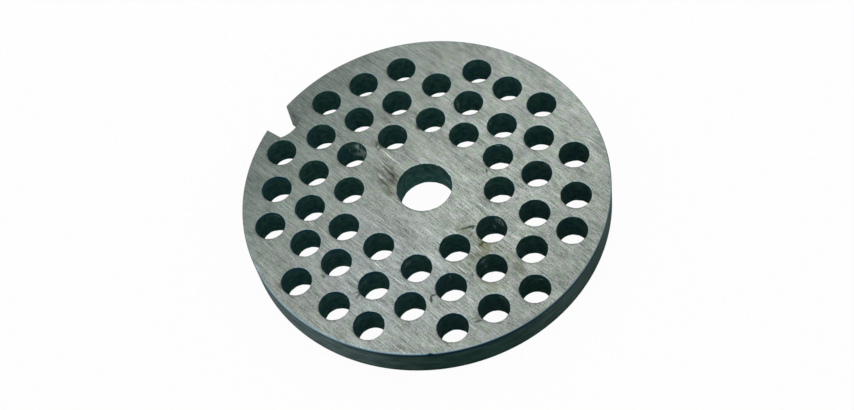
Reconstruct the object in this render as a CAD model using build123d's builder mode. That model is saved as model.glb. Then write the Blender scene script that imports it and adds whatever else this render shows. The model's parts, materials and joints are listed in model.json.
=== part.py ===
from build123d import *
import math
import os

# A meat grinder plate for a small table grinder: one steel disc, ground flat on both faces,
# with a bore for the knife spindle, a key notch in the rim and 48 mincing holes.
# Sizes are in millimetres and angles in degrees. The origin is the centre of the bore on the
# bottom face, +Z runs up along the bore, and the key notch lies towards -X.

# Disc
plate_diameter = 54.0
plate_thickness = 5.0
edge_break = 0.15  # turned chamfer on both corners of the rim

# Bore: the stud of the knife spindle turns in it
stud_diameter = 8.0
stud_clearance = 0.1  # on the diameter

# Mincing holes: they lie on a grid of equilateral triangles
hole_diameter = 4.4
hole_pitch = 6.3
grid_angle = -3.0  # turn of the grid's rows from the X axis
grid_shift_x = 0.15  # the drilling jig sat a little off the bore's centre
grid_shift_y = -0.65

# Least metal between a mincing hole and what lies beside it. The grid's inmost ring would run
# into the bore, and its outmost corners into the rim and the key notch, so they aren't drilled.
edge_land = 1.0  # to the bore and to the rim
notch_land = 0.5  # to the key notch

# Key notch: a milled slot whose sides close in slightly towards a rounded floor
notch_mouth_width = 4.9
notch_floor_width = 4.4
notch_depth = 3.7  # from the rim to the middle of the floor
notch_floor_crown = 0.6  # how much deeper the middle of the floor is than its two corners
notch_corner_radius = 0.25
notch_lean = 8.0  # the slot's centre line leans this much off the plate's radius

# The drilling is uneven: the row farthest from the notch was drilled out of step as a whole.
last_row = 4
last_row_shift_x = 0.65
last_row_shift_y = 0.35

# These holes strayed by themselves, each given by its row, its place in the row and how far
# the drill walked in X and Y. All the other holes lie close to the grid.
strayed_holes = {
    (-4, 2): (-0.2, 0.2),
    (-3, -1): (-0.3, 0.1),
    (-3, 3): (0.2, 0.3),
    (-3, 4): (0.9, 0.1),
    (-2, -1): (-0.1, -0.3),
    (-2, 0): (-0.3, -0.2),
    (-2, 4): (0.4, -0.3),
    (-1, 2): (-0.4, 0.3),
    (-1, 3): (0.3, -0.9),
    (-1, 4): (0.2, -0.2),
    (0, -3): (0.0, 0.4),
    (0, 2): (-0.2, -0.4),
    (1, -4): (-0.4, 0.2),
    (1, -3): (-0.5, 0.2),
    (1, 1): (0.0, 0.4),
    (1, 3): (-0.3, 0.1),
    (2, -4): (0.3, -0.1),
    (2, -2): (0.4, -0.1),
    (2, 0): (-0.4, -0.2),
    (2, 1): (0.2, -0.3),
    (2, 2): (0.5, -0.2),
}

plate_radius = plate_diameter / 2
bore_radius = (stud_diameter + stud_clearance) / 2
hole_radius = hole_diameter / 2

# The notch is drawn from the middle of its mouth, with local X running inwards.
lean_angle = math.radians(notch_lean)
notch_plane = Plane(
    origin=(-plate_radius, 0, 0),
    x_dir=(math.cos(lean_angle), -math.sin(lean_angle), 0),
    z_dir=(0, 0, 1),
)
overshoot = 2.0  # how far the cut starts outside the rim
floor_corner_depth = notch_depth - notch_floor_crown
floor_half_width = notch_floor_width / 2
side_taper = (notch_mouth_width / 2 - floor_half_width) / floor_corner_depth
start_half_width = notch_mouth_width / 2 + overshoot * side_taper

with BuildSketch(notch_plane) as notch:
    with BuildLine():
        side = Line((-overshoot, -start_half_width), (floor_corner_depth, -floor_half_width))
        floor = ThreePointArc(side @ 1, (notch_depth, 0), (floor_corner_depth, floor_half_width))
        Polyline(floor @ 1, (-overshoot, start_half_width), side @ 0)
    make_face()
    fillet(notch.vertices().group_by(Axis.X)[-1], notch_corner_radius)


def drilled_point(row, place):
    """Centre of one hole: its grid point, the jig's shift and the drill's own error."""
    along_row = hole_pitch * (row + place / 2)
    across_rows = hole_pitch * place * math.sqrt(3) / 2
    point = Vector(along_row, across_rows).rotate(Axis.Z, grid_angle)
    point += Vector(grid_shift_x, grid_shift_y)
    if row == last_row:
        point += Vector(last_row_shift_x, last_row_shift_y)
    return point + Vector(*strayed_holes.get((row, place), (0.0, 0.0)))


def is_drilled(point):
    """True where a hole leaves enough metal to the bore, to the rim and to the notch."""
    clears_bore = point.length - hole_radius >= bore_radius + edge_land
    clears_rim = point.length + hole_radius <= plate_radius - edge_land
    clears_notch = notch.sketch.distance_to(Vertex(point)) >= hole_radius + notch_land
    return clears_bore and clears_rim and clears_notch


grid_reach = math.ceil(2 * plate_radius / (math.sqrt(3) * hole_pitch))
grid_steps = range(-grid_reach, grid_reach + 1)
grid_points = [drilled_point(row, place) for row in grid_steps for place in grid_steps]
hole_centres = [point for point in grid_points if is_drilled(point)]

with BuildPart() as grinder_plate:
    Cylinder(plate_radius, plate_thickness, align=(Align.CENTER, Align.CENTER, Align.MIN))
    chamfer(grinder_plate.edges().filter_by(GeomType.CIRCLE), edge_break)
    extrude(notch.sketch, amount=plate_thickness, mode=Mode.SUBTRACT)
    with Locations(Plane.XY.offset(plate_thickness)):
        Hole(bore_radius)
        with Locations(*hole_centres):
            Hole(hole_radius)

grinder_plate.part.label = "grinder_plate"

os.makedirs("parts", exist_ok=True)
export_step(grinder_plate.part, "parts/grinder_plate.step")
print(f"grinder_plate: {len(hole_centres)} holes, {grinder_plate.part.volume:.0f} cubic mm")
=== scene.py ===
# %% [markdown]
# # A meat grinder plate in ground steel
# The object is one thick steel disc: hardened black, then ground bright on both faces, so only
# the faces shine while the rim and the insides of the holes stay dark. This lesson loads the
# engineer's model as a fixed frame, rebuilds the disc as a finer mesh in exactly the same
# place, and gives it four finishes: the ground face, the dark drilled wall, the blackened rim
# and the milled notch.

# %% Load the fixed frame
import json
import math

import bmesh
import bpy
from mathutils import Matrix, Vector, noise


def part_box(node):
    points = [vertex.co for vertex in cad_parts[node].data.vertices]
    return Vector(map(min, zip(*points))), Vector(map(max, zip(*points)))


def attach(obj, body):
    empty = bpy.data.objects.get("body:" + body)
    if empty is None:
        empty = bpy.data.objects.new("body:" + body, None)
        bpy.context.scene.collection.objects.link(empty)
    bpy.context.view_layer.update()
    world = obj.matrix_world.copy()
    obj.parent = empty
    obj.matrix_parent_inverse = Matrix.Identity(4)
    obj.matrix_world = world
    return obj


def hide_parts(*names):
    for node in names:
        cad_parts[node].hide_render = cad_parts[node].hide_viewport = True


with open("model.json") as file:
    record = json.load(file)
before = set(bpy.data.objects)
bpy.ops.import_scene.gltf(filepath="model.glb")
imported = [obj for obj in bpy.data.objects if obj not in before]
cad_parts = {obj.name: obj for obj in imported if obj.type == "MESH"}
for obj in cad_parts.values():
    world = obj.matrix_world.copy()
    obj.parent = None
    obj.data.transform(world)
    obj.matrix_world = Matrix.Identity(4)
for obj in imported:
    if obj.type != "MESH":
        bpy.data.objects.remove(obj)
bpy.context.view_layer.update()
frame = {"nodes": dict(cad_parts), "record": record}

MM = 0.001  # Blender works in metres here, and every size below is written in millimetres

cad_node = frame["nodes"]["grinder_plate"]
mounts = {mount["name"]: mount for mount in frame["record"]["mounts"]}
rim_radius = mounts["rim"]["dims"]["r_mm"]
bore_radius = mounts["spindle_bore"]["dims"]["r_mm"]
thickness = (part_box("grinder_plate")[1].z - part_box("grinder_plate")[0].z) / MM
print(f"disc {2 * rim_radius:.1f} mm across, {thickness:.1f} mm thick, bore {2 * bore_radius:.1f} mm")

# %% [markdown]
# ## The camera
# A small flat thing is best seen from well above, with a lens a little longer than normal. The
# camera is described as a camera operator would say it: how far round, how high, how far off,
# and how much the camera itself is tilted to one side. Its rotation is then built from three
# directions, which are the columns of a rotation matrix.

# %% Set up the camera
camera_azimuth = math.radians(43.4)
camera_elevation = math.radians(57.144)
camera_roll = math.radians(-13.173)
camera_distance = 201.18
camera_aim = Vector((1.995, -2.431, thickness))
camera_lens = 58.84
sensor_width = 36.0

camera_back = Vector((
    math.sin(camera_azimuth) * math.cos(camera_elevation),
    -math.cos(camera_azimuth) * math.cos(camera_elevation),
    math.sin(camera_elevation),
))
level_right = Vector((math.cos(camera_azimuth), math.sin(camera_azimuth), 0))
camera_right = Matrix.Rotation(camera_roll, 3, camera_back) @ level_right
camera_up = camera_back.cross(camera_right)

camera = bpy.data.objects.new("camera", bpy.data.cameras.new("camera"))
camera.data.lens = camera_lens
camera.data.sensor_width = sensor_width
camera.data.clip_start = 1 * MM
camera.matrix_world = (
    Matrix.Translation((camera_aim + camera_distance * camera_back) * MM)
    @ Matrix((camera_right, camera_up, camera_back)).transposed().to_4x4()
)
bpy.context.scene.collection.objects.link(camera)
bpy.context.scene.camera = camera
print("camera at", [round(c / MM) for c in camera.location], "mm")

# %% [markdown]
# ## The outline, sliced from the engineer's body
# The visible disc has to lie exactly where the engineer's body does, so nothing is measured
# twice. A plane cuts a copy of that body at half its height, which leaves only closed loops of
# edges: one for the rim with its notch, one for the bore and one for each mincing hole. Every
# round loop is then drawn again as a much finer circle.

# %% Slice the body at half height
weld_distance = 0.001


def slice_outlines(node, height):
    """The closed loops, in millimetres, where a level plane cuts a node: points in order."""
    sliced = bmesh.new()
    sliced.from_mesh(node.data)
    bmesh.ops.scale(sliced, vec=(1 / MM, 1 / MM, 1 / MM), verts=sliced.verts)
    bmesh.ops.remove_doubles(sliced, verts=sliced.verts, dist=weld_distance)
    everything = sliced.verts[:] + sliced.edges[:] + sliced.faces[:]
    bmesh.ops.bisect_plane(
        sliced, geom=everything, plane_co=(0, 0, height), plane_no=(0, 0, 1),
        clear_inner=True, clear_outer=True,
    )
    outlines = []
    visited = set()
    for start in sliced.verts:
        outline = []
        onward = [start]
        while onward and onward[0] not in visited:
            outline.append(onward[0])
            visited.add(onward[0])
            neighbours = [edge.other_vert(onward[0]) for edge in onward[0].link_edges]
            onward = [vert for vert in neighbours if vert not in visited]
        if outline:
            outlines.append([vert.co.to_2d() for vert in outline])
    sliced.free()
    return sorted(outlines, key=len)


*round_outlines, rim_outline = slice_outlines(cad_node, thickness / 2)
print(f"{len(round_outlines)} round openings and one rim outline of {len(rim_outline)} points")

# %% [markdown]
# ## The floor and the light
# The disc lies on a white table in a white room. The table shows almost pure white to the
# camera, yet a small share of it is ordinary matt paint, so the disc keeps a faint shadow. The
# light is soft: the room itself, plus one broad lamp whose reflection drifts over the ground
# face and makes it a little brighter towards the front right. Materials and rooms are made of
# nodes in Blender, so two short helpers come first: one adds a node, one an empty material.

# %% Helpers for node trees
def add_node(tree, kind, **values):
    """A node of the given kind. Each value goes to the setting or the input of that name."""
    made = tree.nodes.new("ShaderNode" + kind)
    for name, value in values.items():
        if hasattr(made, name):
            setattr(made, name, value)
        else:
            made.inputs[name.replace("_", " ")].default_value = value
    return made


def new_material(name):
    """An empty node material and its output node."""
    material = bpy.data.materials.new(name)
    material.use_nodes = True
    material.node_tree.nodes.clear()
    output = add_node(material.node_tree, "OutputMaterial")
    return material, material.node_tree, output


# %% Lay the floor
floor_reach = 3000
white = (1, 1, 1, 1)
matt_white = (0.85, 0.85, 0.85, 1)
matt_share = 0.04

floor_material, tree, output = new_material("white table")
matt = add_node(tree, "BsdfDiffuse", Color=matt_white)
glow = add_node(tree, "Emission", Color=white, Strength=1)
shown = add_node(tree, "MixShader", Fac=matt_share)
seen_by = add_node(tree, "LightPath")
chosen = add_node(tree, "MixShader")
tree.links.new(glow.outputs[0], shown.inputs[1])
tree.links.new(matt.outputs[0], shown.inputs[2])
tree.links.new(seen_by.outputs["Is Camera Ray"], chosen.inputs["Fac"])
tree.links.new(matt.outputs[0], chosen.inputs[1])
tree.links.new(shown.outputs[0], chosen.inputs[2])
tree.links.new(chosen.outputs[0], output.inputs["Surface"])

plane = bmesh.new()
bmesh.ops.create_grid(plane, x_segments=1, y_segments=1, size=floor_reach * MM)
floor = bpy.data.objects.new("floor", bpy.data.meshes.new("floor"))
plane.to_mesh(floor.data)
plane.free()
floor.data.materials.append(floor_material)
bpy.context.scene.collection.objects.link(floor)
print(f"the table reaches {floor_reach / 1000:.0f} m to each side")

# %% Light the room
room_strength = 0.75

room = bpy.data.worlds.new("white room")
room.use_nodes = True
bpy.context.scene.world = room
tree = room.node_tree
tree.nodes.clear()
output = add_node(tree, "OutputWorld")
daylight = add_node(tree, "Background", Color=white, Strength=room_strength)
backdrop = add_node(tree, "Background", Color=white, Strength=1)
seen_by = add_node(tree, "LightPath")
camera_or_gloss = add_node(tree, "Math", operation="MAXIMUM")
mirrored_too = add_node(tree, "Math", operation="MAXIMUM")
chosen = add_node(tree, "MixShader")
tree.links.new(seen_by.outputs["Is Camera Ray"], camera_or_gloss.inputs[0])
tree.links.new(seen_by.outputs["Is Glossy Ray"], camera_or_gloss.inputs[1])
tree.links.new(camera_or_gloss.outputs[0], mirrored_too.inputs[0])
tree.links.new(seen_by.outputs["Is Transmission Ray"], mirrored_too.inputs[1])
tree.links.new(mirrored_too.outputs[0], chosen.inputs["Fac"])
tree.links.new(daylight.outputs[0], chosen.inputs[1])
tree.links.new(backdrop.outputs[0], chosen.inputs[2])
tree.links.new(chosen.outputs[0], output.inputs["Surface"])
print(f"the room shines at {room_strength} of full white")

# %% Hang the lamp
lamp_place = Vector((-77, 107, 220))
lamp_size = 60
lamp_power = 0.045

lamp = bpy.data.objects.new("broad lamp", bpy.data.lights.new("broad lamp", "AREA"))
lamp.data.shape = "DISK"
lamp.data.size = lamp_size * MM
lamp.data.energy = lamp_power
lamp.location = lamp_place * MM
lamp.rotation_euler = lamp_place.to_track_quat("Z", "Y").to_euler()
bpy.context.scene.collection.objects.link(lamp)
bpy.context.scene.view_settings.view_transform = "Standard"
print(f"a lamp {lamp_size} mm wide hangs {lamp_place.length:.0f} mm from the disc")

# %% [markdown]
# ## The disc: its openings
# The disc could be cut by 49 booleans, but those leave long thin triangles beside each hole and
# are slow. Here one flat sheet is filled between all the outlines and then thickened. Each
# opening gets two circles of edges, half a millimetre apart. The strip between them gives the
# hole a clean border, and its corners remember two things that the painted highlight and shade
# along the edge need later: how near they are to the edge, and on which side of the hole they
# lie, towards the painted highlight or away from it.

# %% Draw the round openings
hole_segments = 96
bore_segments = 160
strip_width = 0.5
# Which way the painted highlight faces: each opening's edge is painted bright on that side and dark
# on the other.
highlight_angle = math.radians(85)
highlight_direction = Vector((math.cos(highlight_angle), math.sin(highlight_angle), 0))

disc = bmesh.new()
nearness_layer = disc.verts.layers.float.new("edge_nearness")
highlight_layer = disc.verts.layers.float.new("highlight_side")


def add_circle(centre, radius, segments, nearness):
    """A circle of edges in the sheet, with its nearness to the opening's edge and its side towards
    the painted highlight.
    """
    circle = bmesh.ops.create_circle(
        disc, segments=segments, radius=radius, matrix=Matrix.Translation(centre),
    )
    for vert in circle["verts"]:
        vert[nearness_layer] = nearness
        vert[highlight_layer] = (vert.co - centre).normalized().dot(highlight_direction)
    return [edge for edge in disc.edges if edge.verts[0] in circle["verts"]]


openings = []
strips = []
fill_edges = []
for outline in round_outlines:
    centre = sum(outline, Vector((0, 0))) / len(outline)
    radius = max((point - centre).length for point in outline)
    segments = bore_segments if centre.length < bore_radius else hole_segments
    opening_edges = add_circle(centre.to_3d(), radius, segments, nearness=1)
    strip_end = add_circle(centre.to_3d(), radius + strip_width, segments, nearness=0)
    openings.append((centre, radius))
    strips.append(opening_edges + strip_end)
    fill_edges += strip_end
print(f"the smallest opening is {2 * openings[0][1]:.2f} mm wide")

# %% [markdown]
# ## The disc: the rim and the notch
# The key notch stops the disc from turning in the grinder's head. Its outline is taken over
# point by point from the slice, and then the last point is spun round the axis until it comes
# back to the first. A spin gives the rim evenly spaced points, whatever the notch looks like.

# %% Follow the notch and sweep the rim round to it
rim_segments = 720
chord_error = 0.02

on_rim = [point.length > rim_radius - chord_error for point in rim_outline]
first = next(i for i in range(len(rim_outline)) if on_rim[i - 1] and not on_rim[i])
rim_outline = rim_outline[first:] + rim_outline[:first]
on_rim = on_rim[first:] + on_rim[:first]
notch_path = [rim_outline[-1]] + rim_outline[:on_rim.index(True) + 1]
if notch_path[0].y < notch_path[-1].y:
    notch_path.reverse()
notch_verts = [disc.verts.new(point.to_3d()) for point in notch_path]
for start, end in zip(notch_verts, notch_verts[1:]):
    fill_edges.append(disc.edges.new((start, end)))
mouth_angle = notch_path[0].angle(notch_path[-1])
swept = bmesh.ops.spin(
    disc, geom=[notch_verts[-1]], cent=(0, 0, 0), axis=(0, 0, 1),
    angle=2 * math.pi - mouth_angle, steps=rim_segments,
)
rim_end = swept["geom_last"][0]
bmesh.ops.pointmerge(disc, verts=[rim_end, notch_verts[0]], merge_co=notch_verts[0].co)
print(f"the mouth of the notch spans {math.degrees(mouth_angle):.2f} degrees of the rim")

# %% [markdown]
# ## The disc: thickness
# A triangle fill understands that a closed loop inside another one is a hole, so one call makes
# the whole sheet. The strips are bridged, and the sheet is extruded. Keeping the original faces
# makes the extrusion a closed body at once, with a bottom, a top and all the walls.

# %% Fill the sheet and thicken it
strip_edges = {edge for strip in strips for edge in strip}
rim_edges = [edge for edge in disc.edges if edge not in strip_edges]
strip_ends = [edge for edge in fill_edges if edge.is_valid and edge in strip_edges]
bmesh.ops.triangle_fill(disc, use_beauty=True, edges=rim_edges + strip_ends, normal=(0, 0, 1))
for strip in strips:
    bmesh.ops.bridge_loops(disc, edges=strip)
sheet_area = sum(face.calc_area() for face in disc.faces)
raised = bmesh.ops.extrude_face_region(disc, geom=disc.faces[:], use_keep_orig=True)["geom"]
raised_verts = [item for item in raised if isinstance(item, bmesh.types.BMVert)]
bmesh.ops.translate(disc, vec=(0, 0, thickness), verts=raised_verts)
bmesh.ops.recalc_face_normals(disc, faces=disc.faces)
print(f"sheet of {sheet_area:.1f} square mm, disc of {disc.calc_volume():.0f} cubic mm")

# %% [markdown]
# ## The disc: broken edges
# No real edge is perfectly sharp, and the thin bright line along it is what makes metal look
# like metal. The rim was turned on a lathe and has a visible break. The holes' edges were only
# cut through by the grinding, so theirs is hardly there. The bevel needs to know which edges it
# gets, and the angle between the two faces at an edge tells.

# %% Break the edges
rim_break = 0.15
hole_break = 0.05
break_segments = 2
sharp_angle = math.radians(60)


def bounds_opening(edge):
    """True for an edge that runs round the bore or a hole, False for the rim and the notch."""
    middle = (edge.verts[0].co + edge.verts[1].co).to_2d() / 2
    return any((middle - centre).length < radius + chord_error for centre, radius in openings)


def break_edges(edges, width):
    """Rounds sharp edges of the disc over a small width."""
    bmesh.ops.bevel(
        disc, geom=edges, offset=width, segments=break_segments, profile=0.5,
        affect="EDGES", material=-1,
    )


sharp_edges = [edge for edge in disc.edges if edge.calc_face_angle() > sharp_angle]
opening_edges = [edge for edge in sharp_edges if bounds_opening(edge)]
outer_edges = [edge for edge in sharp_edges if not bounds_opening(edge)]
break_edges(opening_edges, hole_break)
break_edges(outer_edges, rim_break)
print(len(disc.faces), "faces, open edges:", sum(not edge.is_manifold for edge in disc.edges))

# %% [markdown]
# ## The disc: ragged holes
# A drill never leaves a perfect circle, and grinding folds a fine burr over the edge. To bend
# the edge without bending the whole wall, the walls are cut half a millimetre from both ends.
# The points near the ends then move in or out by a little smooth noise, which repeats exactly
# in every run because it depends only on where a point is.

# %% Cut the walls near both ends
ragged_depth = 0.5

for height in (ragged_depth, thickness - ragged_depth):
    everything = disc.verts[:] + disc.edges[:] + disc.faces[:]
    bmesh.ops.bisect_plane(
        disc, geom=everything, plane_co=(0, 0, height), plane_no=(0, 0, 1),
    )
print(len(disc.faces), "faces with the cut walls")

# %% Make the holes' edges a little uneven
unevenness = 0.05
swell_length = 0.7
end_zone = 0.9 * ragged_depth
wall_zone = 2 * hole_break

for vert in disc.verts:
    near_end = min(vert.co.z, thickness - vert.co.z) < end_zone
    for centre, radius in openings:
        outward = vert.co.to_2d() - centre
        if near_end and outward.length < radius + wall_zone:
            swell = noise.noise(vert.co / swell_length) * unevenness
            vert.co += outward.normalized().to_3d() * swell
print(f"hole edges stray by up to {unevenness} mm")

# %% [markdown]
# ## The disc: a nick
# The plate was once dropped on its edge. A dent this small could be painted, but real points
# catch the light from every side, so a few points of the rim's top corner are pushed inwards.

# %% Knock a nick into the rim's top edge
nick_place = Vector((15.05, -22.33))
nick_reach = 0.45
nick_depth = 0.2

nicked = 0
for vert in disc.verts:
    from_nick = (vert.co.to_2d() - nick_place).length
    if vert.co.z > thickness - end_zone and from_nick < nick_reach:
        inward = -vert.co.to_2d().normalized().to_3d()
        vert.co += inward * nick_depth * (1 - from_nick / nick_reach)
        nicked += 1
print(nicked, "points of the rim pushed in")

# %% [markdown]
# ## The disc: which way the grinding went
# Ground steel reflects in streaks at right angles to its scratches. The shader calls this
# anisotropy and needs a direction on the surface to measure it from. A UV map can give it: its U
# runs across the grinding lines, at the same slant everywhere, so it needs no unwrapping.

# %% Note which way the grinding went
grain_angle = math.radians(-13.5)
across = disc.loops.layers.uv.new("across_grain")
across_axis = Vector((-math.sin(grain_angle), math.cos(grain_angle)))
along_axis = Vector((math.cos(grain_angle), math.sin(grain_angle)))
for face in disc.faces:
    for loop in face.loops:
        place = loop.vert.co.to_2d()
        loop[across].uv = (place.dot(across_axis), place.dot(along_axis))
print(f"grinding lines turned {math.degrees(grain_angle):.1f} degrees from X")

# %% [markdown]
# ## The disc: an object
# So far the disc is loose bmesh data in millimetres. It is brought to metres and put into a mesh
# object at the origin. Smooth shading makes the many small faces look round, and every corner
# sharper than a set angle stays crisp.

# %% Make the disc an object
shading_angle = math.radians(20)

bmesh.ops.recalc_face_normals(disc, faces=disc.faces)
bmesh.ops.scale(disc, vec=(MM, MM, MM), verts=disc.verts)
plate = bpy.data.objects.new("ground_plate", bpy.data.meshes.new("ground_plate"))
disc.to_mesh(plate.data)
disc.free()
bpy.context.scene.collection.objects.link(plate)
plate.data.shade_smooth()
plate.data.set_sharp_from_angle(angle=shading_angle)
print(len(plate.data.polygons), "faces in the finished disc")

# %% [markdown]
# ## Helpers for the finishes
# Each finish is built from the same few ideas. A patch grid is object space counted in patches
# of a chosen size, so noise on a long thin patch becomes a stroke. A mask is a number from 0 to
# 1 that says where something is, and a soft step makes one out of any other number. All of it
# reads Object coordinates, so nothing slides when the camera moves or the mesh is exported.

# %% Helpers for the finishes
def patch_grid(tree, coords, size, angle=0.0, centre=(0, 0, 0)):
    """Coordinates counted in patches of a size, on a grid turned by an angle about a centre."""
    grid = add_node(tree, "Mapping", vector_type="TEXTURE")
    grid.inputs["Location"].default_value = Vector(centre) * MM
    grid.inputs["Rotation"].default_value = (0, 0, angle)
    grid.inputs["Scale"].default_value = Vector(size) * MM
    tree.links.new(coords, grid.inputs["Vector"])
    return grid.outputs[0]


def cloud(tree, coords, detail=2.0, roughness=0.5):
    """Smooth noise from 0 to 1 on a patch grid."""
    made = add_node(tree, "TexNoise", Scale=1, Detail=detail, Roughness=roughness)
    tree.links.new(coords, made.inputs["Vector"])
    return made.outputs["Fac"]


def calculate(tree, operation, first, second=None, third=None):
    """A Math node between sockets or plain numbers."""
    made = add_node(tree, "Math", operation=operation)
    for place, value in enumerate((first, second, third)):
        if isinstance(value, bpy.types.NodeSocket):
            tree.links.new(value, made.inputs[place])
        elif value is not None:
            made.inputs[place].default_value = value
    return made.outputs[0]


def attribute(tree, name):
    """The value that the mesh stores under a name."""
    return add_node(tree, "Attribute", attribute_name=name).outputs["Fac"]


def part_of(tree, coords, axis):
    """The X, Y or Z of a point."""
    parts = add_node(tree, "SeparateXYZ")
    tree.links.new(coords, parts.inputs[0])
    return parts.outputs[axis]


def blend_colour(tree, share, first, second):
    """A mix of two colours, each a socket or a plain colour."""
    made = add_node(tree, "Mix", data_type="RGBA")
    sockets = [made.inputs[0], made.inputs[6], made.inputs[7]]
    for socket, value in zip(sockets, (share, first, second)):
        if isinstance(value, bpy.types.NodeSocket):
            tree.links.new(value, socket)
        else:
            socket.default_value = value
    return made.outputs[2]


# %% Helpers for masks
def step_up(tree, value, low, high):
    """A soft step: 0 below the first number, 1 above the second."""
    made = add_node(tree, "MapRange", interpolation_type="SMOOTHSTEP", From_Min=low, From_Max=high)
    tree.links.new(value, made.inputs["Value"])
    return made.outputs[0]


def step_down(tree, value, low, high):
    """A soft step: 1 below the first number, 0 above the second."""
    step = step_up(tree, value, low, high)
    step.node.inputs["To Min"].default_value = 1
    step.node.inputs["To Max"].default_value = 0
    return step


def vector_math(tree, operation, first, second=None, output="Vector"):
    """A Vector Math node between sockets or plain vectors."""
    made = add_node(tree, "VectorMath", operation=operation)
    for place, value in enumerate((first, second)):
        if isinstance(value, bpy.types.NodeSocket):
            tree.links.new(value, made.inputs[place])
        elif value is not None:
            made.inputs[place].default_value = value
    return made.outputs[output]


def spot(tree, coords, centre, half_size, core):
    """1 inside an oval spot and 0 outside it; the core is the share that is fully 1."""
    around = patch_grid(tree, coords, half_size, centre=centre)
    return step_down(tree, vector_math(tree, "LENGTH", around, output="Value"), core, 1.0)


def wander(tree, coords, patch, reach):
    """Coordinates shifted about by noise, so that what is drawn on them gets ragged."""
    shift = add_node(tree, "TexNoise", Scale=1, Detail=1)
    tree.links.new(patch_grid(tree, coords, (patch, patch, patch)), shift.inputs["Vector"])
    centred = vector_math(tree, "SUBTRACT", shift.outputs["Color"], (0.5, 0.5, 0.5))
    scaled = vector_math(tree, "MULTIPLY", centred, (reach * MM, reach * MM, 0))
    return vector_math(tree, "ADD", coords, scaled)


def faded(tree, mask, strength):
    """A factor that is 1 outside a mask and 1 plus the strength inside it."""
    return calculate(tree, "MULTIPLY_ADD", mask, strength, 1.0)


# %% [markdown]
# ## The ground face: grain
# A surface grinder leaves thousands of fine parallel scratches. One noise stretched far in one
# direction looks like combed hair, because real scratches differ in length, width and slant.
# Five layers are added here, from crumbs of a quarter millimetre to clouds of several, each
# turned a little, and together they give one number: how bright the steel is at that point. The
# finest two are fainter along the far edge and towards the notch, where the face is worn smooth.

# %% The ground face: grain
ground_face, tree, output = new_material("ground face")
coords = add_node(tree, "TexCoord").outputs["Object"]


def grain(length, width, turn=0.0, detail=2.0, roughness=0.5):
    """Noise in strokes of a length and a width, turned a little from the grinding's direction."""
    turned = grain_angle + math.radians(turn)
    return cloud(tree, patch_grid(tree, coords, (length, width, 1), turned), detail, roughness)


# Each noise and its weight.
fine_strokes = [
    (grain(2.4, 0.1, turn=1, detail=3, roughness=0.6), 2.25),
    (grain(0.28, 0.2, turn=-8, detail=1), 1.3),
]
broad_strokes = [
    (grain(6.0, 0.22, turn=3, detail=2), 0.9),
    (grain(1.3, 0.6, turn=-3), 0.65),
    (grain(5.0, 3.0), 0.7),
]


def add_strokes(level, strokes):
    """The level with each noise added by its weight, up and down from its middle."""
    for stroke, weight in strokes:
        centred = calculate(tree, "SUBTRACT", stroke, 0.5)
        level = calculate(tree, "MULTIPLY_ADD", centred, weight, level)
    return level


far_smoothing = -0.35
notch_smoothing = -0.31
far_part = step_up(tree, part_of(tree, coords, "Y"), 2 * MM, 24 * MM)
notch_part = step_down(tree, part_of(tree, coords, "X"), -24 * MM, 20 * MM)
level = add_strokes(0.0, fine_strokes)
level = calculate(tree, "MULTIPLY", level, faded(tree, far_part, far_smoothing))
level = calculate(tree, "MULTIPLY_ADD", level, faded(tree, notch_part, notch_smoothing), 1.0)
level = add_strokes(level, broad_strokes)
print(len(fine_strokes) + len(broad_strokes), "layers of grain")

# %% [markdown]
# ## The ground face: painted shade towards the notch
# The side with the notch is painted a shade darker: painted shade in the colour, for a face that
# reflects less light there. A soft step along X is enough for that.

# %% The ground face: painted shade towards the notch
notch_shade_strength = -0.3
# Painted shade: the colour grows darker towards the notch.
notch_painted_shade = step_down(tree, part_of(tree, coords, "X"), -27 * MM, -15 * MM)
level = calculate(tree, "MULTIPLY", level, faded(tree, notch_painted_shade, notch_shade_strength))
print(f"the notch side is up to {-notch_shade_strength:.0%} duller")

# %% [markdown]
# ## The ground face: painted light at the edges
# A thin lip of painted highlight runs along one side of each opening and a lip of painted shade
# along the other. The two numbers that the mesh carries, how near a point is to an opening and on
# which side of it, say where that is, and a little noise breaks the lips up. The rim has its own
# painted highlight, a bright line along the front.

# %% The ground face: edges of the openings and of the rim
lip_patchiness = 1.2
lip_highlight_strength = 0.1
lip_shade_strength = -0.35
rim_highlight_strength = 0.2

nearness = attribute(tree, "edge_nearness")
side = attribute(tree, "highlight_side")
uneven = grain(0.7, 0.7, detail=1)
uneven_side = calculate(tree, "MULTIPLY_ADD", uneven, lip_patchiness, side)
# Painted highlight along one side of each opening's edge, painted shade along the other.
painted_lip_highlight = calculate(
    tree, "MULTIPLY", step_up(tree, nearness, 0.2, 0.9), step_up(tree, uneven_side, 0.7, 1.6),
)
painted_lip_shade = calculate(
    tree, "MULTIPLY", step_up(tree, nearness, 0.1, 1.0), step_down(tree, uneven_side, -0.3, 0.4),
)
level = calculate(tree, "MULTIPLY", level, faded(tree, painted_lip_shade, lip_shade_strength))
level = calculate(tree, "MULTIPLY_ADD", painted_lip_highlight, lip_highlight_strength, level)
# Painted highlight: a bright line on the face along the rim's edge, at the front.
flat_coords = vector_math(tree, "MULTIPLY", coords, (1, 1, 0))
from_axis = vector_math(tree, "LENGTH", flat_coords, output="Value")
painted_rim_highlight = step_up(tree, from_axis, (rim_radius - 0.4) * MM, (rim_radius - 0.2) * MM)
front = step_down(tree, part_of(tree, coords, "Y"), -24 * MM, -14 * MM)
painted_rim_highlight = calculate(tree, "MULTIPLY", painted_rim_highlight, front)
level = calculate(tree, "MULTIPLY_ADD", painted_rim_highlight, rim_highlight_strength, level)
print(f"lips {lip_highlight_strength:+} bright and {lip_shade_strength:+} dull, rim line {rim_highlight_strength:+}")

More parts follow.
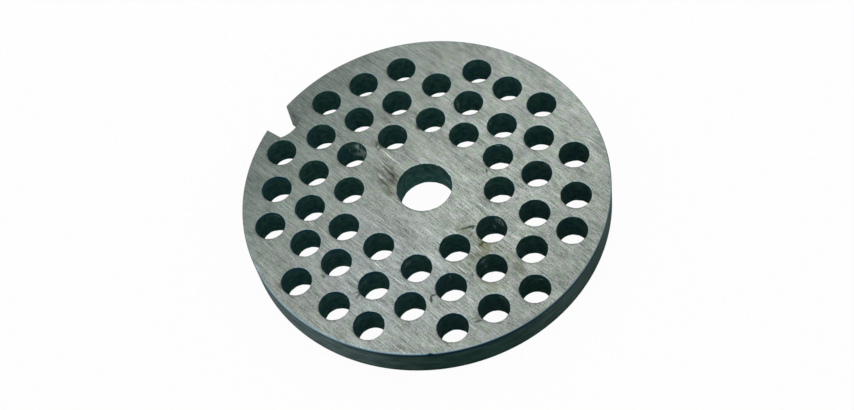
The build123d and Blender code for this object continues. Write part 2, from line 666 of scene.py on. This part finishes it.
# %% [markdown]
# ## The ground face: marks of use
# A used plate has marks that no noise would put in the right place: the dark scuffs where the
# knife's hub rubs beside the bore, single bright scratches, and small scratches and pits at the
# holes. Each is an oval mask, long and thin for a scratch. To keep the shader small, all marks
# with the same slant and slenderness share one stretched grid, and each of them is then only
# the distance from a point on it. A slight wandering of the grid makes their edges ragged, and
# the dark scuffs along the grain are broken up into streaks.

# %% The ground face: marks of use
mark_depth = 3  # keeps the marks of the upper face off the lower one
mark_core = 0.2  # the share of a mark that has its full strength


def mark_grid(coords, angle, slenderness):
    """Millimetres along and across a direction, with the across ones stretched."""
    return patch_grid(
        tree, coords, (1, 1 / slenderness, 1 / mark_depth), math.radians(angle), (0, 0, thickness),
    )


def mark_mask(grid, angle, slenderness, x, y, length):
    """1 in an oval mark of a length at x, y, and 0 outside it."""
    turned = Vector((x, y)) @ Matrix.Rotation(math.radians(angle), 2)
    centre = (turned.x, turned.y * slenderness, 0)
    distance = vector_math(tree, "DISTANCE", grid, centre, output="Value")
    return step_down(tree, distance, mark_core * length / 2, length / 2)


scuff_angle = -16
darkest = 0.12
# Direction in degrees and slenderness, then x, y, length and change in brightness of each mark.
streaks = {
    (scuff_angle, 5): [
        (-6.9, 0.1, 2.6, -0.6), (-5.4, -0.45, 3.4, -0.75), (-4.4, -0.95, 2.6, -0.6),
        (-7.0, 0.65, 2.8, -0.5), (-5.0, -0.1, 3.2, -0.6), (-6.6, -0.9, 2.4, -0.4),
        (-5.9, -1.25, 2.4, -0.45), (-4.8, -1.4, 2.8, -0.4), (-5.9, -2.05, 3.2, -0.4),
        (-5.0, -2.45, 2.6, -0.4), (-8.0, -0.6, 2.4, -0.3), (-9.5, -0.3, 2.6, -0.2),
        (12.4, -9.5, 2.6, -0.25), (3.5, 2.5, 1.0, -0.4), (-13.5, 5.6, 2.6, -0.25),
    ],
    (scuff_angle, 9): [
        (-6.45, -1.5, 2.6, 1.4), (-7.6, 2.15, 3.8, 0.9), (-7.2, 0.42, 3.4, 0.4),
        (-6.9, -0.3, 3.4, 0.3), (-4.9, 1.35, 2.0, 0.4), (5.35, 0.35, 1.8, 0.6),
        (1.26, -14.2, 2.8, 0.7), (1.75, -13.9, 2.8, 0.5), (4.8, -14.9, 2.6, 0.6),
        (-7.2, -15.0, 1.8, 0.7), (-11.2, -13.05, 1.9, 0.6), (3.8, -20.2, 2.6, 0.5),
        (2.5, -22.15, 1.6, 0.7), (11.6, -23.85, 2.0, 0.6), (12.3, -9.2, 3.0, 0.5),
        (17.3, -6.9, 2.2, 0.4), (18.8, -7.8, 2.2, 0.4), (-2.1, 6.95, 1.2, 0.5),
        (15.0, 3.0, 2.4, 0.3), (7.5, 0.0, 1.6, 0.5),
    ],
    (42, 4): [
        (9.45, -2.6, 2.3, -0.8), (8.7, -3.35, 1.6, -0.6), (10.75, -14.4, 1.6, -0.7),
        (-10.95, 7.3, 1.6, -0.4), (18.2, -15.0, 1.8, -0.7), (17.5, -14.9, 1.2, -0.5),
        (0.9, -19.3, 1.4, -0.5), (1.9, -19.1, 1.0, -0.4),
    ],
    (82, 3): [
        (9.87, -2.6, 1.2, -0.7), (10.2, -3.7, 1.6, -0.45), (12.3, -4.2, 2.0, -0.6),
        (-9.6, 2.5, 1.3, -0.5), (1.4, -19.6, 1.7, -0.55),
    ],
    (-58, 3): [
        (10.7, -15.1, 1.9, -0.8), (-10.35, 2.85, 1.3, -0.6), (6.6, 6.65, 1.5, -0.5),
    ],
    (-20, 1.6): [
        (-4.7, -1.5, 3.0, -0.45), (-6.2, -2.2, 2.6, -0.35), (-6.0, 0.5, 1.2, -0.5),
        (13.75, -9.15, 0.9, -0.6), (12.5, -7.9, 1.1, -0.35), (12.5, -3.75, 0.8, -0.6),
        (-6.5, 8.4, 1.5, -0.65), (-12.9, 9.1, 1.4, -0.5), (6.6, 6.65, 0.6, -0.6),
        (8.2, 0.05, 0.5, -0.6), (12.95, 4.65, 0.8, -0.5), (9.1, 2.5, 0.5, -0.45),
        (4.2, 10.3, 0.5, -0.4), (19.0, -14.3, 0.9, -0.6), (-4.7, -19.4, 1.3, -0.55),
        (10.3, -14.6, 0.5, 0.35), (24.3, -6.5, 6.0, 0.14),
    ],
}
lines = wander(tree, coords, 0.5, 0.25)
streaky = calculate(tree, "MULTIPLY_ADD", step_up(tree, grain(3.0, 0.2), 0.35, 0.6), 0.7, 0.5)
for (angle, slenderness), marks in streaks.items():
    grid = mark_grid(lines, angle, slenderness)
    for x, y, length, change in marks:
        mark = mark_mask(grid, angle, slenderness, x, y, length)
        if angle == scuff_angle and change < 0:
            mark = calculate(tree, "MULTIPLY", mark, streaky)
        level = calculate(tree, "MULTIPLY", level, faded(tree, mark, change))
level = calculate(tree, "MAXIMUM", level, darkest)
print(sum(len(marks) for marks in streaks.values()), "marks of use")

# %% [markdown]
# ## The ground face: stains
# Fat and a trace of rust dry into thin brown films between the holes. They use the same masks as
# the marks, but stouter, on a grid that wanders further, and where two overlap the stronger wins.

# %% The ground face: old fat and rust in thin brown films
stain_angle = -15
stain_slenderness = 1.4
# x, y, length and strength of each stain.
stains = [
    (12.9, -4.4, 4.0, 1.0), (12.1, -4.0, 2.4, 0.7), (13.1, -6.0, 2.8, 0.7), (12.6, -7.0, 2.4, 0.5),
    (12.3, -7.9, 2.4, 0.3), (18.9, -5.0, 3.8, 0.6), (18.6, -5.4, 2.4, 0.3),
    (15.4, -9.2, 3.2, 0.4), (17.2, -9.5, 3.6, 0.45), (8.9, -3.5, 3.2, 0.55),
    (10.7, -4.0, 3.0, 0.4), (-4.2, -2.9, 3.4, 0.6), (-5.5, -1.2, 7.0, 0.35),
    (-10.3, 3.2, 3.0, 0.4), (-9.5, -23.6, 2.0, 0.6), (14.5, -6.5, 17.0, 0.26),
    (-11.5, 7.5, 3.4, 0.2), (13.4, -5.0, 3.0, 0.8),
]
film = 0.0
patches = wander(tree, coords, 1.1, 0.9)
grid = mark_grid(patches, stain_angle, stain_slenderness)
for x, y, length, strength in stains:
    mark = mark_mask(grid, stain_angle, stain_slenderness, x, y, length)
    film = calculate(tree, "MAXIMUM", film, calculate(tree, "MULTIPLY", mark, strength))
print(len(stains), "stains")

# %% [markdown]
# ## The ground face: shader
# Bare steel takes its colour from what it reflects, so it is fully metallic. Its tint drifts a
# little between green and grey, greener under the oil near the notch, bluer where the front is
# wiped clean, warmer in places, bluish under the painted highlights at the edges and brown under
# the stains. Bright scratches are also smoother ones, so the same number drives the roughness.
# The bump is very low: it only makes the highlight shimmer along the strokes.

# %% The ground face: its tint
steel_green = (0.208, 0.252, 0.215, 1)
steel_grey = (0.243, 0.258, 0.257, 1)
dried_fat = (0.125, 0.135, 0.085, 1)

hue = step_up(tree, grain(1.3, 1.0, detail=2), 0.35, 0.65)
oiled = step_down(tree, part_of(tree, coords, "X"), -25 * MM, -5 * MM)
wiped = spot(tree, coords, (3, -15, 0), (20, 15, 100), core=0.2)
warm = step_up(tree, grain(2.2, 1.4, turn=20, detail=2), 0.3, 0.7)
# Where each tint lies, how strong it is there and its colour.
tints = [
    (oiled, 0.6, (0.198, 0.254, 0.234, 1)),
    (wiped, 0.5, (0.226, 0.255, 0.262, 1)),
    (warm, 0.25, (0.25, 0.26, 0.205, 1)),
    # The next two tints colour the painted highlights along the edges.
    (painted_lip_highlight, 0.6, (0.20, 0.27, 0.28, 1)),
    (painted_rim_highlight, 0.7, (0.18, 0.26, 0.29, 1)),
]
tinted = blend_colour(tree, hue, steel_green, steel_grey)
for place, strength, colour in tints:
    tinted = blend_colour(tree, calculate(tree, "MULTIPLY", place, strength), tinted, colour)
tinted = blend_colour(tree, film, tinted, dried_fat)
scaled = add_node(tree, "VectorMath", operation="SCALE")
tree.links.new(tinted, scaled.inputs[0])
tree.links.new(level, scaled.inputs["Scale"])
print(len(tints), "tints laid over the steel's own two")

# %% The ground face: shader
streak_gloss = 0.8
dull_roughness = 0.46
bright_roughness = 0.35
relief_height = 0.004

shader = add_node(tree, "BsdfPrincipled", Metallic=1.0)
shader.inputs["Anisotropic"].default_value = streak_gloss
tree.links.new(scaled.outputs[0], shader.inputs["Base Color"])
roughness = add_node(
    tree, "MapRange", From_Min=0.5, From_Max=1.5, To_Min=dull_roughness, To_Max=bright_roughness,
)
tree.links.new(level, roughness.inputs["Value"])
tree.links.new(roughness.outputs[0], shader.inputs["Roughness"])
relief = add_node(tree, "Bump", Strength=0.3, Distance=relief_height * MM)
tree.links.new(grain(2.4, 0.12, detail=1), relief.inputs["Height"])
tree.links.new(relief.outputs[0], shader.inputs["Normal"])
tangent = add_node(tree, "Tangent", direction_type="UV_MAP", uv_map="across_grain")
tree.links.new(tangent.outputs[0], shader.inputs["Tangent"])
tree.links.new(shader.outputs[0], output.inputs["Surface"])
print(len(tree.nodes), "nodes in the ground face")

# %% [markdown]
# ## The drilled walls
# Hardening leaves a blue-green black skin inside the holes, where no wheel reaches. Little light
# gets in there, so a truly black skin would look like a flat disc of paint. The colour is
# therefore quite strong and patchy, and a bit bluer in places and towards the top edge. It gets
# brighter towards the bottom, to make up for the shadow down there, and a little darker on the
# right half of the disc. Two helpers come first: a height that is counted down from the upper
# face, and the shader that the walls, the rim and the notch share, because all three are dull.

# %% Helpers for the dull finishes
def below_top(depth):
    """The height in metres of what lies some millimetres below the upper face."""
    return (thickness - depth) * MM


def plain_shader(tree, output, colour, roughness, gloss):
    """The shader of a dull finish, from its colour, its roughness and how much it mirrors."""
    shader = add_node(tree, "BsdfPrincipled", Roughness=roughness)
    shader.inputs["Specular IOR Level"].default_value = gloss
    tree.links.new(colour, shader.inputs["Base Color"])
    tree.links.new(shader.outputs[0], output.inputs["Surface"])


# %% The drilled walls: dark skin
skin_dark = (0.015, 0.076, 0.064, 1)
skin_light = (0.054, 0.134, 0.112, 1)
skin_blue = (0.020, 0.075, 0.125, 1)
skin_navy = (0.006, 0.06, 0.11, 1)
blue_strength = 0.4
navy_strength = 0.8

drilled_wall, tree, output = new_material("drilled wall")
coords = add_node(tree, "TexCoord").outputs["Object"]
patches = cloud(tree, patch_grid(tree, coords, (0.9, 0.9, 0.8)), 3, 0.6)
wall_colour = blend_colour(tree, step_up(tree, patches, 0.33, 0.67), skin_dark, skin_light)
blue_patches = cloud(tree, patch_grid(tree, coords, (1.7, 1.7, 1.3)))
blueness = calculate(tree, "MULTIPLY", step_up(tree, blue_patches, 0.45, 0.65), blue_strength)
wall_colour = blend_colour(tree, blueness, wall_colour, skin_blue)
height = part_of(tree, coords, "Z")
top_edge = step_up(tree, height, below_top(0.6), below_top(0.2))
front = step_down(tree, part_of(tree, coords, "Y"), -14 * MM, -2 * MM)
front_top = calculate(tree, "MULTIPLY", top_edge, front)
navy = calculate(tree, "MULTIPLY", front_top, navy_strength)
wall_colour = blend_colour(tree, navy, wall_colour, skin_navy)
print(len(tree.nodes), "nodes in the drilled wall's skin")

# %% The drilled walls: darker towards the top and towards the right
rise_change = -1.0
side_change = 0.33
lowest_level = 1.7
right_level = 0.75

rise = step_up(tree, height, -1 * MM, below_top(0))
wall_level = calculate(tree, "MULTIPLY_ADD", rise, rise_change, lowest_level)
left_side = step_down(tree, part_of(tree, coords, "X"), 0, 20 * MM)
side_level = calculate(tree, "MULTIPLY_ADD", left_side, side_change, right_level)
wall_level = calculate(tree, "MULTIPLY", wall_level, side_level)
wall_colour = vector_math(tree, "MULTIPLY", wall_colour, wall_level)
print(f"the walls' level falls by up to {-rise_change} towards the top")

# %% [markdown]
# ## The drilled walls: pale marks and painted highlights
# Some walls carry pale blots and upright streaks, and thin rings of painted highlight where the
# drill's last rings catch the light. They are masks again, in three shapes: a blot, an upright
# streak and a thin ring. A streaky noise breaks them up. One dark blotch sits on the wall of the
# bore.

# %% The drilled walls: pale marks and painted highlights
pale_and_highlight_colour = (0.55, 0.7, 0.63, 1)
blotch_colour = (0.01, 0.05, 0.055, 1)
pale_mark_core = 0.1
# Half width and half height of a mark of size 1, then x, y, z, size and strength of each mark.
wall_marks = {
    (1.0, 0.8): [
        (-13.45, 1.9, 3.7, 1.1, 1.0), (-13.5, 1.8, 2.0, 1.2, 1.2), (-12.5, 2.02, 2.6, 1.4, 1.3),
        (12.2, 0.7, 4.0, 0.9, 0.7), (12.5, 0.7, 3.4, 0.9, 0.6), (4.15, -11.4, 3.6, 1.0, 0.22),
        (13.6, -6.0, 3.9, 0.8, 0.3), (16.85, -1.9, 3.0, 0.9, 0.16), (7.7, 4.9, 4.0, 0.6, 0.2),
        (0.3, -16.7, 3.2, 0.6, 0.3), (1.6, 3.7, 2.0, 1.4, 0.22), (-15.3, 7.8, 3.8, 0.5, 0.2),
    ],
    (0.25, 1.2): [
        (-12.1, 1.95, 2.2, 1.8, 1.6), (-14.4, 1.25, 3.0, 1.0, 0.5), (-12.7, 2.0, 1.2, 1.5, 1.3),
        (11.38, 0.48, 1.9, 1.1, 0.6), (13.7, -5.8, 2.4, 1.1, 0.35), (-4.33, 16.0, 3.0, 1.5, 0.5),
        (2.25, 14.7, 3.8, 0.7, 0.3), (10.8, -10.5, 4.0, 0.5, 0.5), (-13.1, 1.98, 3.7, 1.4, 1.4),
        (-12.5, 2.0, 3.7, 1.1, 1.0),
    ],
    # Thin rings: painted highlights along the drill's last rings.
    (1.0, 0.14): [
        (19.3, -10.0, 4.35, 0.9, 0.6), (19.8, -10.1, 3.7, 0.7, 0.5), (-8.5, 7.45, 4.15, 1.0, 0.5),
        (-7.9, 7.2, 3.7, 0.7, 0.5), (-16.9, -14.0, 4.3, 1.1, 0.45), (5.9, 11.5, 4.65, 1.0, 0.6),
        (22.2, -4.75, 3.9, 0.9, 0.4), (13.55, 11.77, 4.3, 0.7, 0.6), (-0.4, -20.36, 3.8, 0.6, 0.4),
        (8.3, 15.8, 4.7, 0.6, 0.35),
    ],
}
ragged = wander(tree, coords, 0.5, 0.5)
breakup_noise = step_up(tree, cloud(tree, patch_grid(tree, coords, (0.35, 0.35, 0.9))), 0.35, 0.6)
for (wide, tall), marks in wall_marks.items():
    grid = patch_grid(tree, ragged, (wide, wide, tall))
    for x, y, z, size, strength in marks:
        distance = vector_math(
            tree, "DISTANCE", grid, (x / wide, y / wide, z / tall), output="Value",
        )
        mark = step_down(tree, distance, pale_mark_core * size, size)
        mark = calculate(tree, "MULTIPLY", mark, calculate(tree, "MULTIPLY", breakup_noise, strength))
        wall_colour = blend_colour(tree, mark, wall_colour, pale_and_highlight_colour)
blotch = spot(tree, ragged, (-2.0, 3.5, 3.5), (0.6, 0.6, 0.7), core=0.2)
wall_colour = blend_colour(tree, blotch, wall_colour, blotch_colour)
plain_shader(tree, output, wall_colour, roughness=0.55, gloss=0.04)
print(len(tree.nodes), "nodes in the drilled wall")

# %% [markdown]
# ## The rim
# The rim keeps its black skin too, and the lathe left faint rings that run round it, so its
# noise is flat and wide. On two stretches a paler colour is painted on as painted reflection, over
# the little gloss it has, which rises towards its left and right ends by itself, because every
# shader reflects more at a grazing angle.

# %% The rim: the band
band_dark = (0.005, 0.023, 0.019, 1)
band_light = (0.017, 0.046, 0.037, 1)
painted_sheen_colour = (0.095, 0.148, 0.148, 1)
right_strength = 0.25
far_right_change = -0.5

rim_wall, tree, output = new_material("hardened rim")
coords = add_node(tree, "TexCoord").outputs["Object"]
along_x = part_of(tree, coords, "X")
along_y = part_of(tree, coords, "Y")
height = part_of(tree, coords, "Z")
turned_lines = cloud(tree, patch_grid(tree, coords, (3, 3, 0.6)), 3, 0.6)
share = step_up(tree, turned_lines, 0.3, 0.7)
band = blend_colour(tree, share, band_dark, band_light)
# Painted reflection: a paler stretch at the front left and another on the right, fading far right.
left_painted_sheen = spot(tree, coords, (-8, -25, 0), (24, 24, 100), core=0.35)
right_painted_sheen = step_up(tree, along_y, -14 * MM, -8 * MM)
far_right = step_up(tree, along_y, -4 * MM, 3 * MM)
right_sheen = calculate(tree, "MULTIPLY", right_painted_sheen, faded(tree, far_right, far_right_change))
right_sheen = calculate(tree, "MULTIPLY", right_sheen, right_strength)
painted_sheen = calculate(tree, "MAXIMUM", left_painted_sheen, right_sheen)
painted_sheen = calculate(tree, "MULTIPLY", painted_sheen, calculate(tree, "MULTIPLY_ADD", share, 0.6, 0.4))
band = blend_colour(tree, painted_sheen, band, painted_sheen_colour)
print(len(tree.nodes), "nodes in the rim's band")

# %% [markdown]
# ## The rim: its edges
# Just under the upper corner the skin is nearly navy and the break itself is blue; towards the
# left a pale blue line of painted reflection lies on it, and the corner carries a thin painted
# highlight, fainter on the right. Height tells them apart, and where the paler painted stretches
# lie the navy fades too. Next to the notch the break is bare grey steel. A near-black line at the
# bottom edge is painted shadow, where the rim meets the table.

# %% The rim: its edges
right_navy_fade = 0.75
navy_loss = -0.65
right_highlight_loss = -0.35

dark_edge = step_up(tree, height, below_top(0.8), below_top(0.5))
# The navy fades where the painted reflection lies.
right_navy_fade_mask = calculate(tree, "MULTIPLY", right_painted_sheen, right_navy_fade)
navy_fade_reach = calculate(tree, "MAXIMUM", left_painted_sheen, right_navy_fade_mask)
dark_edge = calculate(tree, "MULTIPLY", dark_edge, faded(tree, navy_fade_reach, navy_loss))
blue_edge = step_up(tree, height, below_top(0.2), below_top(0.12))
# Painted reflection: a pale blue line on the break, towards the left.
painted_edge_reflection = calculate(tree, "MULTIPLY", blue_edge, step_down(tree, along_x, -4 * MM, 14 * MM))
# Painted highlight: a thin bright line on the corner, fainter on the right.
painted_corner_highlight = step_up(tree, height, below_top(0.08), below_top(0.01))
painted_corner_highlight = calculate(tree, "MULTIPLY", painted_corner_highlight, faded(tree, right_painted_sheen, right_highlight_loss))
bare_edge = calculate(tree, "MULTIPLY", blue_edge, step_down(tree, along_x, -19 * MM, -9 * MM))
# Painted shadow: a near-black line at the bottom edge, where the rim meets the table.
painted_bottom_shadow = step_down(tree, height, 0.1 * MM, 0.3 * MM)
# Each line and its colour. A later one covers the ones before it.
edge_lines = [
    (dark_edge, (0.0005, 0.012, 0.028, 1)),
    (blue_edge, (0.025, 0.072, 0.095, 1)),
    (painted_edge_reflection, (0.12, 0.21, 0.29, 1)),
    (painted_corner_highlight, (0.26, 0.37, 0.41, 1)),
    (bare_edge, (0.2, 0.23, 0.21, 1)),
    (painted_bottom_shadow, (0.002, 0.006, 0.007, 1)),
]
for place, colour in edge_lines:
    band = blend_colour(tree, place, band, colour)
plain_shader(tree, output, band, roughness=0.45, gloss=0.02)
print(len(tree.nodes), "nodes in the hardened rim")

# %% [markdown]
# ## The milled notch
# The notch was milled after hardening and is bright steel, but rougher than the ground face, with
# one sooty spot. It is small and seen at a slant, so a patchy grey with a soft gloss is enough.

# %% The milled notch
milled_dark = (0.13, 0.18, 0.165, 1)
milled_light = (0.20, 0.25, 0.225, 1)
soot_colour = (0.04, 0.07, 0.07, 1)

notch_wall, tree, output = new_material("milled notch")
coords = add_node(tree, "TexCoord").outputs["Object"]
patches = cloud(tree, patch_grid(tree, coords, (1.0, 1.0, 0.5)), 3, 0.6)
milled = blend_colour(tree, step_up(tree, patches, 0.3, 0.7), milled_dark, milled_light)
soot = spot(tree, wander(tree, coords, 0.6, 0.5), (-25.5, 2.35, 3.6), (0.9, 0.9, 0.8), core=0.2)
milled = blend_colour(tree, soot, milled, soot_colour)
plain_shader(tree, output, milled, roughness=0.5, gloss=0.2)
print(len(tree.nodes), "nodes in the milled notch")

# %% [markdown]
# ## Which face gets which finish
# All four finishes are on one mesh. A face that looks straight up or down is ground, one close
# to an opening's circle is drilled, one on the rim's radius is hardened, and the rest is the
# notch. The disc then takes the place of the engineer's body and rides on it.

# %% Give each face its finish
level_slope = 0.99
finishes = {"face": ground_face, "drilled": drilled_wall, "rim": rim_wall, "notch": notch_wall}
for material in finishes.values():
    plate.data.materials.append(material)


def finish_of(face):
    """Which of the four finishes a face of the disc has."""
    place = Vector(face.center).to_2d() / MM
    if abs(face.normal.z) > level_slope:
        return "face"
    if any((place - centre).length < radius + wall_zone for centre, radius in openings):
        return "drilled"
    if place.length > rim_radius - rim_break - chord_error:
        return "rim"
    return "notch"


for face in plate.data.polygons:
    face.material_index = list(finishes).index(finish_of(face))
for index, name in enumerate(finishes):
    count = sum(face.material_index == index for face in plate.data.polygons)
    print(f"{name}: {count} faces")

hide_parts("grinder_plate")
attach(plate, "root")
